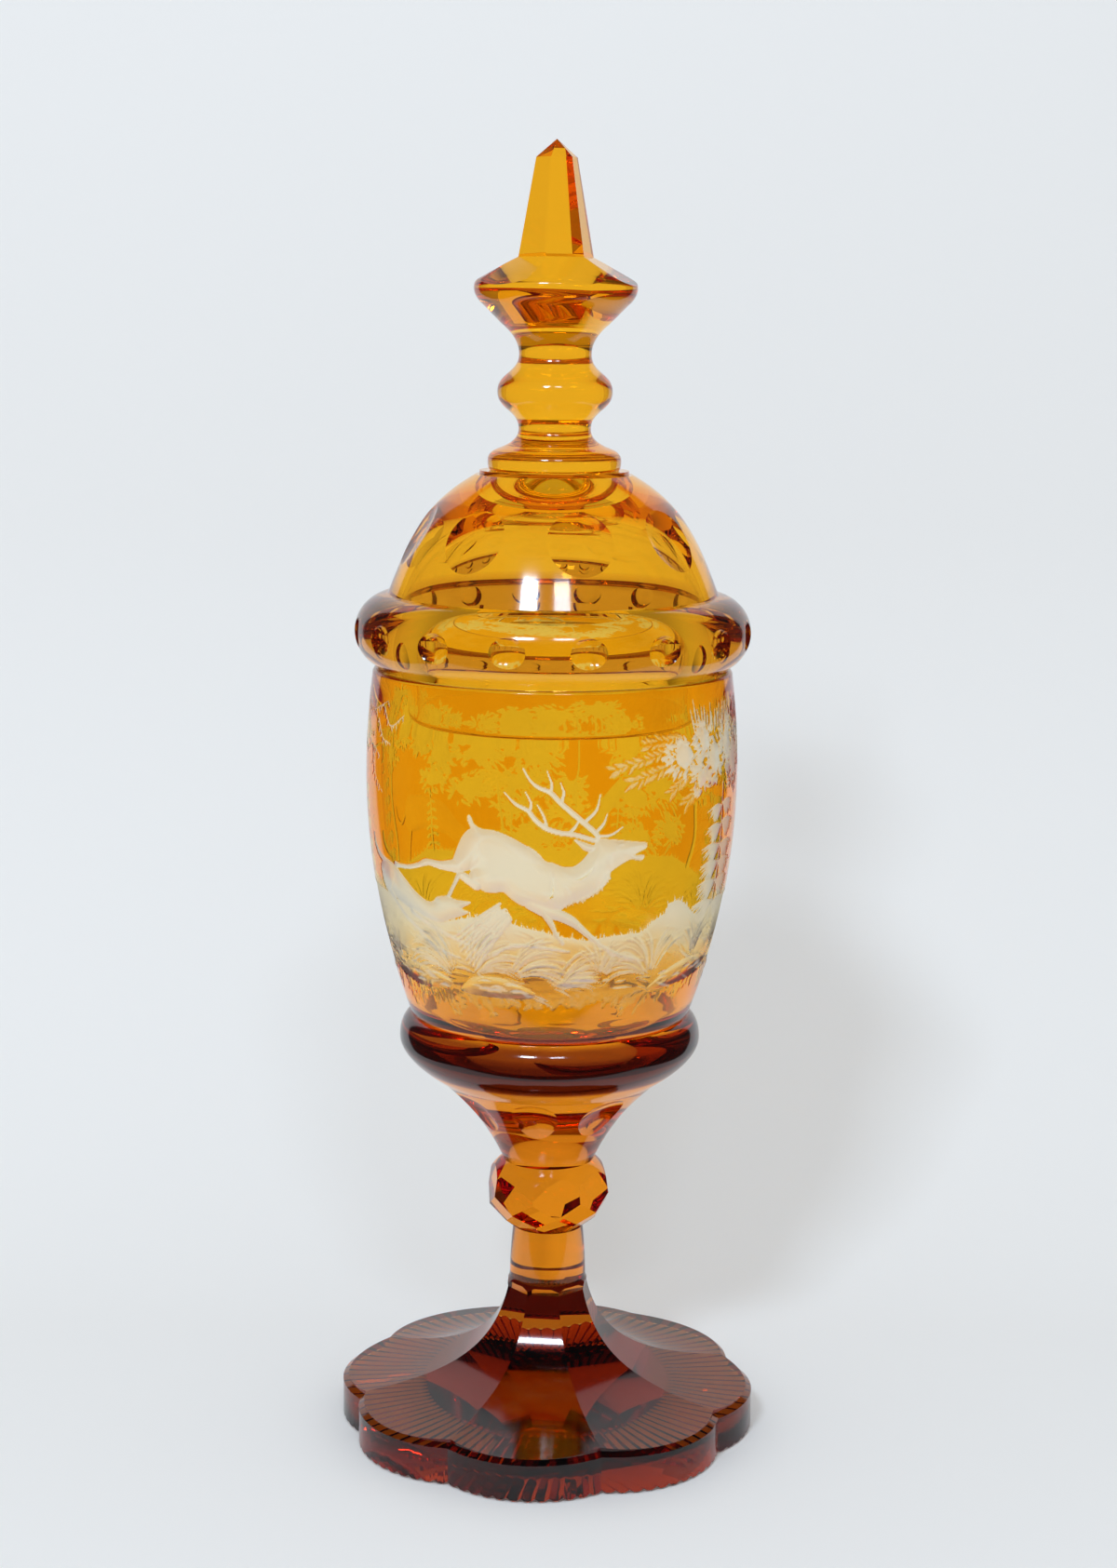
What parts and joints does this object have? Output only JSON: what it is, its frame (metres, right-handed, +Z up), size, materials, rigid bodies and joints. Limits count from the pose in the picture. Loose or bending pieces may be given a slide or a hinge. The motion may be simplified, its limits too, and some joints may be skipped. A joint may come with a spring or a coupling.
{
  "type": "covered goblet",
  "caption": "Covered cut-glass goblet: lobed foot, faceted knop, engraved barrel bowl and a lift-off domed cover with a spire finial.",
  "frame": {"origin": "centre of the foot's flat underside", "axes": "+Z up along the goblet's axis, -Y towards the side with the leaping stag, +X to that side's right"},
  "size_m": [0.1294, 0.1294, 0.3963],
  "materials": {
    "amber_glass": "polished clear glass with an amber surface stain, cut, and engraved with a matt woodland scene"
  },
  "bodies": {
    "goblet": {"foot": "amber_glass", "stem_knop": "amber_glass", "calyx": "amber_glass", "collar_ring": "amber_glass", "bowl": "amber_glass"},
    "cover": {"cover_dome": "amber_glass", "finial_merese": "amber_glass", "finial_knop": "amber_glass", "finial_disc": "amber_glass", "finial_spire": "amber_glass"}
  },
  "joints": [
    {"name": "cover_lift", "type": "slide", "parent": "goblet", "child": "cover", "axis": [0, 0, 1], "range_m": [0, 0.15]}
  ]
}
